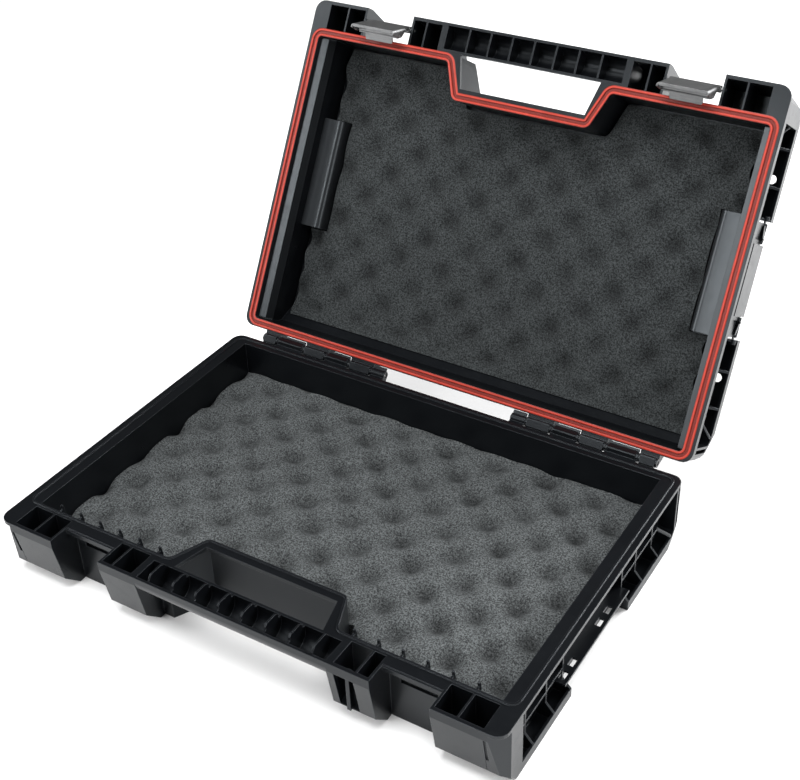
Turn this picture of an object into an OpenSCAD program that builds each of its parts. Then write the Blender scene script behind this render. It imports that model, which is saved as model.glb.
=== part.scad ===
// Hard tool case: a shallow base tray and a lid on two rear hinges, two draw
// latches, a grip moulded half in each shell, a rim seal, two foam pads and a
// stacking clip on each side of the lid. The origin is the centre of the base's
// footprint, +Z is up, the grip faces -Y and the lid stands open.

/* [Shells] */
// Width of the case across its sides
case_w = 450; // [375:5:540]
// Depth of the rims, grip edge to hinge edge
case_d = 309; // [257:1:370]
// Height of the base, floor to rim
base_h = 57.5; // [48:0.5:75]
// Height of the lid, rim to deck
lid_h = 51; // [44:0.5:65]
// Thickness of the tray floor
floor_t = 3.5; // [2.5:0.1:5]
// Thickness of the lid's deck
deck_t = 2.2; // [1.8:0.1:3]
// Gap between the two rims when the case is shut
parting_gap = 0.4; // [0.3:0.1:0.8]
// Width of the chamfer across each front corner
corner_cut = 11.5; // [6:0.5:18]
// Radius of each rear corner
rear_corner_r = 9; // [5:0.5:12]

/* [Lid position] */
// How far the lid stands open
lid_open = 120; // [0:1:120]

/* [Front] */
// Width of each block outside a latch
corner_block_w = 55.5; // [46:0.5:70]
// Width of each latch bay
latch_bay_w = 48; // [44:0.5:58]
// Depth of the front bays, from the front edge to the wall behind them
bay_depth = 26; // [25.5:0.5:30]
// Thickness of the walls around the front pockets
pocket_wall = 2; // [1.6:0.1:3]

/* [Grip] */
// Depth of the grip bar, front to back
grip_d = 25; // [22:0.5:27]
// Wall thickness of the grip bar
grip_wall = 2.3; // [1.6:0.1:3]
// Spacing of the ribs across the grip bar
grip_rib_pitch = 21; // [16:0.5:26]
// Thickness of the grip ribs and of the small fins
rib_t = 1.6; // [1.2:0.1:2.4]
// How far the base's grip ribs stand above the rim
rib_rise = 5; // [3:0.5:6]

/* [Hinges] */
// Distance of the hinge axis behind the rear edge
hinge_back = 7; // [6:0.5:9]
// Half the height of the hinge knuckles
knuckle_r = 4.3; // [3.8:0.1:4.8]
// Radius of the steel hinge pins
hinge_pin_r = 2; // [1.5:0.1:2.5]

/* [Latches] */
// Gap between a latch lever and each wall of its bay
lever_gap = 2; // [1.5:0.25:4]
// Length of a latch lever from its pin to its free edge
lever_l = 30.5; // [26:0.5:37]
// Thickness of the lever's plate
lever_t = 1.4; // [1.2:0.1:2]
// Inward lean of a shut lever
lever_lean = 19; // [14:1:20]
// Width of the claw's tongue
claw_w = 28; // [22:0.5:32]
// Length of the claw from its pin to its tip
claw_l = 8.8; // [6.5:0.1:9]
// Angle of a hanging claw above the rim plane
claw_angle = 30; // [20:1:40]

/* [Foam] */
// Height of the pad in the base
base_foam_t = 25; // [12:1:28]
// Height of the pad in the lid
lid_foam_t = 10.5; // [6:0.5:14]

/* [Hidden] */
$fn = 48;

case_black = "#1d2023";
seal_red = "#d8402c";
foam_grey = "#3b4042";
steel_grey = "#b9bcbe";

// Clearances: turning fit on a pin, gap beside a moving piece, and gap round a foam pad
pin_clear = 0.05;
side_clear = 0.3;
pad_gap = 0.6;
eps = 0.01;
cut = 1;

// Shell outline
half_w = case_w / 2;
band_h = 8;
front_lean = 6;
base_bevel = 14;
lid_bevel = 17;
rear_lean = 2.7;
rear_bevel = 20.5;

// Walls: skin of the sides, rim flanges, and the wall behind the front bays
side_wall_x = half_w - 14;
side_skin = 2.5;
flange_t = 3;
base_in_x = side_wall_x - side_skin;
rear_wall = 8;
base_in_y = bay_depth + 4.5;
base_in_back = case_d - rear_wall - 3;
base_in_bevel = 12;
lid_in_back = base_in_back + 2;
lid_in_bevel = 16;
rear_pocket = 5.5;

// Seal line: centre of the bead, and of the ridge it presses on
seal_x = half_w - 6.2;
seal_front = bay_depth + 2.8;
seal_back = case_d - 4.3;
seal_w = 4.4;
seal_h = 4.1;
groove_w = 5;
groove_h = 5;
groove_wall = 1.2;
ridge_w = 1.6;
ridge_h = 1;
lid_inset = groove_w / 2 + groove_wall;
// Lid side walls: outer face, depth where they start to slope in, drop of the slope, skin above it
lid_wall_x = half_w - 16;
lid_rim_h = groove_h + 1.5;
lid_slope_h = 10.5;
lid_rim_skin = 1.6;

// Front blocks, counted outward from the middle
block_x = half_w - corner_block_w - latch_bay_w;
bay_x = block_x + latch_bay_w / 2;
corner_x = half_w - corner_block_w;
grip_half = block_x - 35.5;
well_front_x = grip_half - 18.5;
well_back_x = grip_half - 26;
well_back_y = bay_depth + 28;
notch_front_x = grip_half - 10;
notch_back_x = grip_half - 23;
notch_back_y = well_back_y + 7;
ledge_front = 17;
ledge_t = 5;
catch_recess = 2.5;
// Space under the rim web behind the grip, and its opening
web_y = 30;
under_x = grip_half - 12;
under_back_x = grip_half - 25;
// Padlock hole in the lid's right pocket
padlock_y = 10.5;
padlock_r = 3.2;
grip_rib_n = floor((2 * grip_half - 14) / grip_rib_pitch / 2);
fin_pitch = 20;
fin_x0 = grip_half + 2.5;
fin_n = floor((half_w - 34 - fin_x0) / fin_pitch) + 1;

// Side blocks either side of the middle bay
side_bay = 100;
block_l = (case_d - side_bay) / 2;
block_front = bay_depth + pocket_wall;
bay_y0 = case_d / 2 - side_bay / 2;
bay_y1 = case_d / 2 + side_bay / 2;
rib_x = half_w - 7;
rib_shares = [0.009, 0.263, 0.569];
side_rib_t = 1.8;
shelf_share = 0.67;
shelf_drop = 27;
block_skirt = 8;
slot_places = [-53, -38.5, 7.6, 22.6];
slot_x = half_w - 5.3;
slot_w = 4.4;
slot_l = 8.4;
slot_flange_drop = 20.5;
bulge_d = 17;
bulge_h = 31;
bulge_r = 4;
// Locating holes in the outer floor of the lid's side blocks
locating_y = 0.33 * block_l;
locating_x = half_w - 10;
locating_r = 3.75;
block_floor_t = 2.5;
groove_cut = 2.6;

// Hinges
hinge_y = case_d + hinge_back;
hinge_h = -parting_gap / 2;
hinge_in = 64;
hinge_out = half_w - 26;
hinge_l = hinge_out - hinge_in;
knuckle_gap = 0.5;
knuckle_notch = 1.7;
barrel_r = 3.7;
// Ends of the knuckles as shares of a hinge's length
knuckle_marks = [0, 0.104, 0.289, 0.474, 0.659, 0.874, 1];

// Latches, in the shut lid's frame
lever_w = latch_bay_w - 2 * lever_gap;
lever_y = 12;
lever_h = 3.6;
lever_pin_r = 1.25;
lever_eye_r = 3;
claw_pin_r = 1;
claw_eye_r = 2;
claw_y = 2.6;
claw_h = 18.5;
claw_t = 1.6;

// Stacking clips, in the shut lid's frame
clip_x = half_w - 4;
clip_h = lid_h - 10;
clip_l = side_bay - 4;
clip_eye_l = 17;
clip_pin_r = 1.25;
clip_eye_r = 2.6;
clip_reach = clip_h - lid_rim_h - 1.6;
clip_ear_r = 3;
clip_ear_l = 4;

// ---------------------------------------------------------------- helpers

// Extrudes a (y, z) outline along X, centred on X
module along_x(length) {
    rotate([90, 0, 90]) linear_extrude(length, center = true) children();
}

// Extrudes an (x, z) outline along Y, centred on Y
module along_y(length) {
    rotate([90, 0, 0]) linear_extrude(length, center = true) children();
}

// Repeats its children on the left and on the right
module both_sides() {
    children();
    mirror([1, 0, 0]) children();
}

// A block between two corners
module box(a, b) {
    translate(a) cube(b - a);
}

// A rod along X between two positions
module rod_x(x0, x1, r) {
    translate([x0, 0, 0]) rotate([0, 90, 0]) cylinder(h = x1 - x0, r = r);
}

// A rod along Y between two positions
module rod_y(y0, y1, r) {
    translate([0, y0, 0]) rotate([-90, 0, 0]) cylinder(h = y1 - y0, r = r);
}

// Each shell is drawn with Y from its grip edge and Z outward from its rim;
// the base is that drawing turned over
module place_base() {
    translate([0, -case_d / 2, base_h]) mirror([0, 0, 1]) children();
}

// The lid's drawing swung back about the hinge axis
module place_lid() {
    translate([0, hinge_y - case_d / 2, base_h - hinge_h])
        rotate([-lid_open, 0, 0])
            translate([0, -hinge_y, parting_gap + hinge_h])
                children();
}

// ---------------------------------------------------------------- shared shell shapes

// Points of a quarter circle that starts at angle a0
function corner_arc(x, y, r, a0) = [for (a = [a0 : 18 : a0 + 90]) [x + r * cos(a), y + r * sin(a)]];

// Outline of a shell seen from above
module plan_outline() {
    c = corner_cut;
    x = half_w - rear_corner_r;
    y = case_d - rear_corner_r;
    polygon(concat([[c - half_w, 0], [half_w - c, 0], [half_w, c]],
                   corner_arc(x, y, rear_corner_r, 0),
                   corner_arc(-x, y, rear_corner_r, 90),
                   [[-half_w, c]]));
}

// Round corners of the rim plate, standing out over the front chamfers
module rim_corners() {
    r = corner_cut - 1.5;
    both_sides()
        linear_extrude(flange_t)
            polygon(concat([[half_w - r - 4, r], [half_w - r - 4, 0]],
                           corner_arc(half_w - r, r, r, -90),
                           [[half_w, r + 4], [half_w - 4, r + 4]]));
}

// Solid envelope of a shell, with its leaning front and its bevels
module envelope(height, bevel) {
    intersection() {
        linear_extrude(height) plan_outline();
        along_x(case_w + 2 * cut)
            polygon([[0, 0], [0, band_h], [front_lean, height - bevel],
                     [front_lean + bevel, height], [case_d - rear_lean - rear_bevel, height],
                     [case_d - rear_lean, height - rear_bevel], [case_d, 0]]);
    }
}

// Closed line of the seal: straight sides, with a notch round the hand gap
module seal_line(grow) {
    offset(delta = grow)
        offset(r = -4) offset(delta = 4)
            offset(r = 7) offset(delta = -7)
                polygon([[-seal_x, seal_front], [-notch_front_x, seal_front],
                         [-notch_back_x, notch_back_y], [notch_back_x, notch_back_y],
                         [notch_front_x, seal_front], [seal_x, seal_front],
                         [seal_x, seal_back], [-seal_x, seal_back]], $fn = 32);
}

// Band of a given width along the seal line
module seal_band(width) {
    difference() {
        seal_line(width / 2);
        seal_line(-width / 2);
    }
}

// Bay under the grip bar: splayed pillar faces, then the well under the rim web
module grip_bay_outline() {
    y = well_back_y + 4;
    polygon([[-grip_half, -cut], [grip_half, -cut], [grip_half, 3], [grip_half - 6, web_y - 11],
             [under_x, web_y], [under_back_x, y], [-under_back_x, y],
             [-under_x, web_y], [6 - grip_half, web_y - 11], [-grip_half, 3]]);
}

// Opening through the rim behind the grip bar
module hand_gap_outline() {
    polygon([[-well_front_x, grip_d - 1], [well_front_x, grip_d - 1],
             [well_back_x, well_back_y], [-well_back_x, well_back_y]]);
}

// Half-round trough outline of the grip bar, shrunk by a wall thickness
module trough_outline(shrink) {
    r = grip_d / 2;
    intersection() {
        union() {
            translate([r, 5]) circle(r - shrink);
            translate([shrink, -cut]) square([grip_d - 2 * shrink, 5 + cut]);
        }
        translate([0, -cut]) square([grip_d, grip_d]);
    }
}

// Grip bar: a half-round trough, open toward the other shell
module grip_trough() {
    difference() {
        along_x(2 * grip_half + 2) intersection() {
            trough_outline(0);
            square([grip_d, grip_d]);
        }
        along_x(2 * grip_half - 2) trough_outline(grip_wall);
    }
}

// Pocket moulded into a front block between two walls
module front_pocket(x0, x1, depth) {
    skin = 3;
    lean = front_lean * (depth - band_h) / (base_h - base_bevel - band_h);
    translate([(x0 + x1) / 2, 0, 0]) along_x(x1 - x0)
        polygon([[skin, -cut], [skin, band_h], [skin + lean, depth],
                 [bay_depth, depth], [bay_depth, -cut]]);
}

// Pockets of the block outside a latch
module corner_pockets(depth) {
    front_pocket(corner_x + pocket_wall, corner_x + 19, depth);
    front_pocket(corner_x + 19 + rib_t, corner_x + 39.5, depth);
}

// Cross rib of a side block: S-shaped outline in the (x, z) plane
module side_rib(y, height) {
    translate([0, y, 0]) along_y(side_rib_t)
        polygon([[base_in_x + 1, 0], [half_w, 0], [half_w, flange_t], [rib_x, flange_t + 2],
                 [rib_x, height - 2 * block_skirt], [half_w, height - block_skirt], [half_w, height],
                 [base_in_x + 1, height]]);
}

// Ribs, shelf, bevelled floor and skirt of the side block from y0 along dir to the corner
module side_block(y0, dir, height, bevel) {
    for (share = rib_shares)
        side_rib(y0 + dir * share * block_l, height);
    shelf_end = y0 + dir * shelf_share * block_l;
    near = min(y0, y0 + dir * block_l);
    far = max(y0, y0 + dir * block_l);
    shelf_h = height - shelf_drop;
    t = side_rib_t;
    difference() {
        box([side_wall_x - 1, near, shelf_h], [half_w, far, height]);
        translate([0, 0, -block_floor_t]) envelope(height, bevel);
    }
    box([side_wall_x - 1, min(y0, shelf_end), shelf_h], [rib_x, max(y0, shelf_end), shelf_h + t]);
    box([half_w - 2, near, height - block_skirt], [half_w, far, height]);
    // gusset at the end of the shelf, and the upright rib before the corner
    hull() {
        translate([side_wall_x, shelf_end, shelf_h]) cube([rib_x - side_wall_x, t, t]);
        translate([half_w - t, shelf_end + dir * 13, shelf_h + 14]) cube(t);
    }
    translate([0, y0 + dir * (block_l - corner_cut - 1), 0]) along_y(2)
        polygon([[side_wall_x - 1, 0], [half_w, 0], [half_w, height], [side_wall_x - 1, height]]);
}

// All side blocks of a shell, trimmed to its envelope
module side_blocks(height, bevel) {
    intersection() {
        envelope(height, bevel);
        both_sides() {
            side_block(bay_y0, -1, height, bevel);
            side_block(bay_y1, 1, height, bevel);
        }
    }
}

// Space cleared outside the base's side skins, from under the rim to the floor
module base_side_clearance() {
    both_sides()
        box([side_wall_x, block_front, flange_t], [half_w + cut, case_d - rear_wall, base_h + cut]);
}

// Space cleared outside the lid's side skins, which slope in under the rim
module lid_side_clearance() {
    x0 = seal_x - lid_inset + lid_rim_skin;
    both_sides()
        translate([0, (block_front + case_d - rear_wall) / 2, 0]) along_y(case_d - rear_wall - block_front)
            polygon([[half_w + cut, lid_rim_h], [x0 + 0.8, lid_rim_h], [x0, lid_rim_h + 2],
                     [lid_wall_x, lid_rim_h + lid_slope_h + 1], [lid_wall_x, lid_h + cut],
                     [half_w + cut, lid_h + cut]]);
}

// Upright groove between each front block's face and the corner chamfer
module corner_grooves(height, bevel) {
    x = half_w - corner_cut - groove_cut;
    both_sides()
        translate([x, 0, 0]) along_x(groove_cut)
            polygon([[-cut, band_h], [groove_cut / 2, band_h],
                     [front_lean + groove_cut / 2, height - bevel], [-cut, height - bevel]]);
}

// Space cleared behind the rear wall, leaving upright ribs
module rear_clearance(height) {
    ribs = 8;
    pitch = 2 * side_wall_x / ribs;
    for (i = [0 : ribs - 1])
        box([-side_wall_x + i * pitch + 1.2, case_d - rear_pocket, flange_t + 14],
            [-side_wall_x + (i + 1) * pitch - 1.2, case_d + cut, height + cut]);
}

// One knuckle: a barrel, and a rounded box tied to the rear wall by a gusset
module knuckle(x0, x1, boxed) {
    notch = boxed ? knuckle_notch : 0;
    translate([(x0 + x1) / 2, 0, 0]) {
        along_x(x1 - x0) {
            translate([hinge_y, hinge_h]) circle(barrel_r);
            polygon([[case_d - 4, -hinge_h], [hinge_y, -hinge_h],
                     [hinge_y + barrel_r * 0.7, barrel_r * 0.6],
                     [case_d - 1, 16], [case_d - 4, 16]]);
        }
        if (boxed)
            along_x(x1 - x0 - 2 * notch) {
                translate([hinge_y, hinge_h]) offset(r = 1.4) square(2 * (knuckle_r - 1.4), center = true);
                polygon([[case_d - 4, -hinge_h], [hinge_y, -hinge_h], [hinge_y + knuckle_r, knuckle_r - 2],
                         [case_d - 1, 20], [case_d - 4, 20]]);
            }
    }
}

// Every second knuckle of both hinges, starting with the given one
module knuckles(first) {
    both_sides()
        for (i = [first : 2 : 5])
            knuckle(hinge_in + knuckle_marks[i] * hinge_l + knuckle_gap / 2,
                    hinge_in + knuckle_marks[i + 1] * hinge_l - knuckle_gap / 2, i > 0);
}

// Bores for both hinge pins
module hinge_bores() {
    both_sides()
        translate([0, hinge_y, hinge_h]) rod_x(hinge_in - cut, hinge_out + cut, hinge_pin_r + pin_clear);
}

// ---------------------------------------------------------------- base

// Inside of the tray
module base_cavity() {
    intersection() {
        translate([0, 0, -cut]) linear_extrude(base_h - floor_t + cut) intersection() {
            seal_line(-1);
            translate([-base_in_x, base_in_y]) square([2 * base_in_x, case_d]);
        }
        along_x(case_w)
            polygon([[0, -cut], [0, base_h], [base_in_back - base_in_bevel, base_h - floor_t],
                     [base_in_back, base_h - floor_t - base_in_bevel], [base_in_back, -cut]]);
    }
}

// Ribs across the base's grip bar, standing above the rim
module base_grip_ribs() {
    both_sides()
        for (i = [0 : grip_rib_n - 1])
            translate([(i + 0.5) * grip_rib_pitch, 0, 0]) along_x(rib_t) {
                intersection() {
                    trough_outline(grip_wall - 0.2);
                    square([grip_d, grip_d]);
                }
                polygon([[5, 1], [5, 2 - rib_rise], [7, -rib_rise], [17, -rib_rise],
                         [20, 2 - rib_rise], [20, 1]]);
            }
}

// Small upright fins inside the front wall that steer the lid home
module lid_fins() {
    y0 = seal_front + lid_inset + 0.4;
    both_sides()
        for (i = [0 : fin_n - 1])
            translate([fin_x0 + i * fin_pitch, 0, 0]) along_x(rib_t)
                polygon([[base_in_y - 0.5, 24], [base_in_y - 0.5, 0], [y0, 0], [y0, -3.6],
                         [y0 + 1.3, -4], [y0 + 2.8, 4], [base_in_y + 1, 24]]);
}

// Shallow recesses in the bay walls, under the ledges, for the tips of the claws
module claw_recesses() {
    w = claw_w / 2 + 1;
    both_sides()
        box([bay_x - w, bay_depth - 1, ledge_t], [bay_x + w, bay_depth + catch_recess, claw_h + 2]);
}

// Ledge in each latch bay that the claw pulls on
module latch_ledges() {
    both_sides()
        translate([bay_x, 0, 0]) along_x(latch_bay_w + 1)
            polygon([[ledge_front, 1], [ledge_front, ledge_t], [bay_depth + 1, ledge_t],
                     [bay_depth + 1, 0], [ledge_front + 1.5, 0], [ledge_front + 1.5, 1]]);
}

// Slotted flange low in each side, running on into the front block
module slotted_flange() {
    h = base_h - slot_flange_drop;
    t = side_rib_t / 2;
    both_sides() difference() {
        box([side_wall_x - 1, bay_y0 - 11, h - t], [half_w, bay_y1, h + t]);
        for (y = slot_places)
            translate([slot_x, case_d / 2 + y, h]) cube([slot_w, slot_l, 2 * flange_t], center = true);
    }
}

module base_shell() {
    depth = base_h - base_bevel - 1;
    color(case_black) place_base() {
        difference() {
            envelope(base_h, base_bevel);
            base_cavity();
            translate([0, 0, flange_t]) linear_extrude(base_h) grip_bay_outline();
            translate([0, 0, -cut]) linear_extrude(base_h) hand_gap_outline();
            box([-grip_half, -cut, -cut], [grip_half, grip_d, base_h + cut]);
            both_sides() {
                box([block_x, -cut, -cut], [corner_x, bay_depth, base_h + cut]);
                corner_pockets(depth);
                front_pocket(grip_half + 5, block_x - 12.6, depth);
                front_pocket(block_x - 11, block_x - pocket_wall, depth);
            }
            box([grip_half + 6, -cut, band_h], [block_x - 13, 10, depth]);
            base_side_clearance();
            corner_grooves(base_h, base_bevel);
            claw_recesses();
            rear_clearance(base_h);
        }
        translate([0, 0, -ridge_h]) linear_extrude(ridge_h + 1) seal_band(ridge_w);
        grip_trough();
        base_grip_ribs();
        lid_fins();
        latch_ledges();
        side_blocks(base_h, base_bevel);
        rim_corners();
        slotted_flange();
        box([grip_half + 13, 4, band_h - 1], [grip_half + 16, 9, depth + 1]);
        difference() {
            knuckles(0);
            hinge_bores();
        }
    }
}

// ---------------------------------------------------------------- lid

// Space that the lid's bulges take from each side of its inside, with rounded edges
module lid_bulges(grow) {
    r = bulge_r + grow;
    both_sides() intersection() {
        translate([0, 0, bulge_h - grow]) linear_extrude(lid_h)
            translate([side_wall_x - bulge_d - grow, bay_y0 + 2 - grow])
                offset(r = r) offset(delta = -r) square([2 * bulge_d, side_bay - 4 + 2 * grow]);
        translate([0, case_d / 2, 0]) along_y(side_bay + 2 * grow)
            translate([side_wall_x - bulge_d - grow, bulge_h - grow])
                offset(r = r) offset(delta = -r) square([2 * bulge_d, lid_h]);
    }
}

// Inside of the lid: wide at the seal groove, then sloping in to the side walls
module lid_cavity() {
    x0 = seal_x - lid_inset;
    x1 = lid_wall_x - side_skin;
    difference() {
        intersection() {
            translate([0, 0, -cut]) linear_extrude(lid_h - deck_t + cut) seal_line(-lid_inset);
            translate([0, case_d / 2, 0]) along_y(case_d)
                polygon([[-x0, -cut], [x0, -cut], [x0, lid_rim_h], [x1, lid_rim_h + lid_slope_h],
                         [x1, lid_h], [-x1, lid_h], [-x1, lid_rim_h + lid_slope_h], [-x0, lid_rim_h]]);
            along_x(case_w)
                polygon([[0, -cut], [0, lid_h], [lid_in_back - lid_in_bevel, lid_h - deck_t],
                         [lid_in_back, lid_h - deck_t - lid_in_bevel], [case_d, -cut]]);
        }
        lid_bulges(side_skin);
    }
}

// Ribs across the lid's grip bar, level with its rim
module lid_grip_ribs() {
    n = grip_rib_n - 1;
    for (i = [-n : n])
        translate([i * grip_rib_pitch, 0, 0]) along_x(rib_t) intersection() {
            trough_outline(grip_wall - 0.2);
            square([grip_d, grip_d]);
        }
}

// Round locating holes through the outer floors of the side blocks
module locating_holes() {
    both_sides()
        for (y = [bay_y0 - locating_y, bay_y1 + locating_y])
            translate([locating_x, y, lid_h - block_floor_t - cut])
                cylinder(h = block_floor_t + 2 * cut, r = locating_r);
}

// Ears on the block ends that carry the stacking clips' pins
module clip_ears() {
    both_sides()
        for (y = [bay_y0 - clip_ear_l, bay_y1])
            translate([clip_x, 0, clip_h]) rod_y(y, y + clip_ear_l, clip_ear_r);
}

module lid_shell() {
    depth = lid_h - lid_bevel - 1;
    color(case_black) place_lid() difference() {
        union() {
            difference() {
                envelope(lid_h, lid_bevel);
                translate([0, 0, flange_t]) linear_extrude(lid_h) grip_bay_outline();
                translate([0, 0, -cut]) linear_extrude(lid_h) hand_gap_outline();
                box([-grip_half, -cut, -cut], [grip_half, grip_d, lid_h + cut]);
                both_sides() {
                    box([block_x, -cut, -cut], [corner_x, bay_depth, lid_h + cut]);
                    box([block_x, bay_depth - 1, groove_h + 2.5], [corner_x, bay_depth + 4.5, lid_h + cut]);
                    corner_pockets(depth);
                    front_pocket(grip_half + 5, block_x - 15.6, depth);
                    front_pocket(block_x - 14, block_x - pocket_wall, depth);
                }
                lid_side_clearance();
                corner_grooves(lid_h, lid_bevel);
                rear_clearance(lid_h);
            }
            grip_trough();
            lid_grip_ribs();
            side_blocks(lid_h, lid_bevel);
            clip_ears();
            rim_corners();
            knuckles(1);
            both_sides()
                box([side_wall_x - bulge_d - side_skin, bay_y0, bulge_h - side_skin],
                    [side_wall_x, bay_y1, lid_h - eps]);
        }
        lid_cavity();
        lid_bulges(0);
        translate([0, 0, -cut]) linear_extrude(groove_h + cut) seal_band(groove_w);
        hinge_bores();
        locating_holes();
        both_sides() {
            translate([0, lever_y, lever_h])
                rod_x(block_x - pocket_wall - cut, corner_x + pocket_wall + cut, lever_pin_r + pin_clear);
            translate([clip_x, 0, clip_h])
                rod_y(bay_y0 - 4, bay_y1 + 4, clip_pin_r + pin_clear);
        }
        translate([grip_half + 13, padlock_y, 10]) cylinder(h = lid_h, r = padlock_r);
    }
}

// Bead in the lid's groove, narrower where it meets the ridge
module lid_seal() {
    color(seal_red) place_lid() {
        translate([0, 0, groove_h - seal_h + 1]) linear_extrude(seal_h - 1) seal_band(seal_w);
        translate([0, 0, groove_h - seal_h]) linear_extrude(1 + eps) seal_band(seal_w - 1.4);
    }
}

// ---------------------------------------------------------------- foam pads

// Pad inside the seal line: straight at the sides, bevelled below its rear edge
module pad(inset, reach, back, bottom, bevel, thickness) {
    intersection() {
        translate([0, 0, bottom - thickness]) linear_extrude(thickness) intersection() {
            seal_line(-inset);
            translate([-reach, 0]) square([2 * reach, case_d]);
        }
        along_x(case_w)
            polygon([[0, bottom - thickness], [0, bottom], [back - bevel, bottom],
                     [back, bottom - bevel], [back, bottom - thickness]]);
    }
}

module base_foam() {
    color(foam_grey) place_base()
        pad(3.5, base_in_x - pad_gap, base_in_back - pad_gap, base_h - floor_t, base_in_bevel, base_foam_t);
}

module lid_foam() {
    bevel = lid_foam_t - eps;
    back = lid_in_back - lid_in_bevel + bevel - pad_gap;
    color(foam_grey) place_lid() difference() {
        pad(lid_inset + 2, lid_wall_x - side_skin - 2, back, lid_h - deck_t, bevel, lid_foam_t);
        lid_bulges(side_skin + 2.5);
    }
}

// ---------------------------------------------------------------- hinge pins

module hinge_pin() {
    color(steel_grey) translate([0, hinge_y - case_d / 2, base_h - hinge_h])
        rod_x(hinge_in + 1, hinge_out - 1, hinge_pin_r);
}

module hinge_pin_right() {
    hinge_pin();
}

module hinge_pin_left() {
    mirror([1, 0, 0]) hinge_pin();
}

// ---------------------------------------------------------------- latches

// Frame of a latch lever: origin on its pin, -Z along the lever
module place_lever(side) {
    place_lid() translate([side * bay_x, lever_y, lever_h]) rotate([lever_lean, 0, 0]) children();
}

// Frame of a claw: origin on its pin, +Y along the tongue
module place_claw(side) {
    place_lever(side) translate([0, claw_y, -claw_h]) rotate([claw_angle - lever_lean, 0, 0]) children();
}

// Cross-section of a lever: a shallow channel with rounded shoulders
module lever_section() {
    y = -lever_eye_r;
    difference() {
        translate([-lever_w / 2, y]) offset(r = 2.6) offset(delta = -2.6) square([lever_w, 20]);
        translate([lever_t - lever_w / 2, y + lever_t])
            offset(r = 1.2) offset(delta = -1.2) square([lever_w - 2 * lever_t, 20]);
    }
}

// Lever: pressed plate with folded sides, rolled round its pin
module lever(side) {
    w = lever_w;
    color(steel_grey) place_lever(side) difference() {
        union() {
            rod_x(-w / 2, w / 2, lever_eye_r);
            intersection() {
                translate([0, 0, -lever_l]) linear_extrude(lever_l) lever_section();
                along_x(w + cut)
                    polygon([[-lever_eye_r, 0], [0, 0], [-0.6, -9], [claw_y + 2, -claw_h + 3],
                             [claw_y + 2, -claw_h - 2.5], [0.4, -lever_l], [-lever_eye_r, -lever_l]]);
            }
            box([-w / 2 + 2, -lever_eye_r, -lever_l], [w / 2 - 2, -0.4, lever_t - lever_l]);
        }
        rod_x(-w, w, lever_pin_r + pin_clear);
        translate([0, claw_y, -claw_h]) rod_x(-w, w, claw_pin_r + pin_clear);
    }
}

module lever_pin(side) {
    l = latch_bay_w + 2 * pocket_wall - 0.6;
    color(steel_grey) place_lever(side) rod_x(-l / 2, l / 2, lever_pin_r);
}

// Claw: plate with an eye along its root, round corners and a bent tip
module claw(side) {
    w = claw_w;
    root = lever_w - 2 * (lever_t + side_clear);
    color(steel_grey) place_claw(side) difference() {
        union() {
            rod_x(-root / 2, root / 2, claw_eye_r);
            box([-root / 2, 0, -claw_t / 2], [root / 2, claw_eye_r + 1, claw_t / 2]);
            translate([0, 0, -claw_t / 2]) linear_extrude(claw_t)
                translate([-w / 2, 0]) offset(r = 1.5) offset(delta = -1.5) square([w, claw_l]);
            box([2 - w / 2, claw_l - 1.4, -claw_t / 2], [w / 2 - 2, claw_l, claw_t / 2 + 0.9]);
        }
        rod_x(-w, w, claw_pin_r + pin_clear);
    }
}

module claw_pin(side) {
    l = lever_w - 0.6;
    color(steel_grey) place_claw(side) rod_x(-l / 2, l / 2, claw_pin_r);
}

module latch_left_lever() {
    lever(-1);
}

module latch_left_lever_pin() {
    lever_pin(-1);
}

module latch_left_claw() {
    claw(-1);
}

module latch_left_claw_pin() {
    claw_pin(-1);
}

module latch_right_lever() {
    lever(1);
}

module latch_right_lever_pin() {
    lever_pin(1);
}

module latch_right_claw() {
    claw(1);
}

module latch_right_claw_pin() {
    claw_pin(1);
}

// ---------------------------------------------------------------- stacking clips

// Frame of a clip: origin on its pin, -Z toward the rim, +X away from the lid
module place_clip(side) {
    place_lid() mirror([side < 0 ? 1 : 0, 0, 0]) translate([clip_x, case_d / 2, clip_h]) children();
}

// Spring prong: a short arm from one end of the clip, with a round tip
module clip_prong(y, dir) {
    translate([1.3, y, -6]) {
        rotate([0, 0, -dir * 7]) translate([-0.5, min(0, dir * 11), 0]) cube([1, 11, 4]);
        translate([1.3, dir * 11, 0]) cylinder(h = 4, r = 1.2);
    }
}

// Clip: two eyes on the pin, a plate hanging toward the rim, and a thicker grip
module side_clip(side) {
    l = clip_l;
    color(case_black) place_clip(side) difference() {
        union() {
            for (y = [-l / 2, l / 2 - clip_eye_l])
                rod_y(y, y + clip_eye_l, clip_eye_r);
            box([-2, -l / 2, -clip_reach], [0.4, l / 2, -1]);
            box([-2, -l / 2 + clip_eye_l + 1, -clip_reach + 4], [3.4, l / 2 - clip_eye_l - 1, 2]);
            clip_prong(-l / 2 + 2, 1);
            clip_prong(l / 2 - 2, -1);
        }
        rod_y(-l, l, clip_pin_r + pin_clear);
    }
}

module side_clip_pin(side) {
    l = side_bay + 2 * clip_ear_l - 1;
    color(steel_grey) place_clip(side) rod_y(-l / 2, l / 2, clip_pin_r);
}

module side_clip_left() {
    side_clip(-1);
}

module side_clip_left_pin() {
    side_clip_pin(-1);
}

module side_clip_right() {
    side_clip(1);
}

module side_clip_right_pin() {
    side_clip_pin(1);
}

base_shell();
lid_shell();
lid_seal();
base_foam();
lid_foam();
hinge_pin_left();
hinge_pin_right();
latch_left_lever();
latch_left_lever_pin();
latch_left_claw();
latch_left_claw_pin();
latch_right_lever();
latch_right_lever_pin();
latch_right_claw();
latch_right_claw_pin();
side_clip_left();
side_clip_left_pin();
side_clip_right();
side_clip_right_pin();
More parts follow.
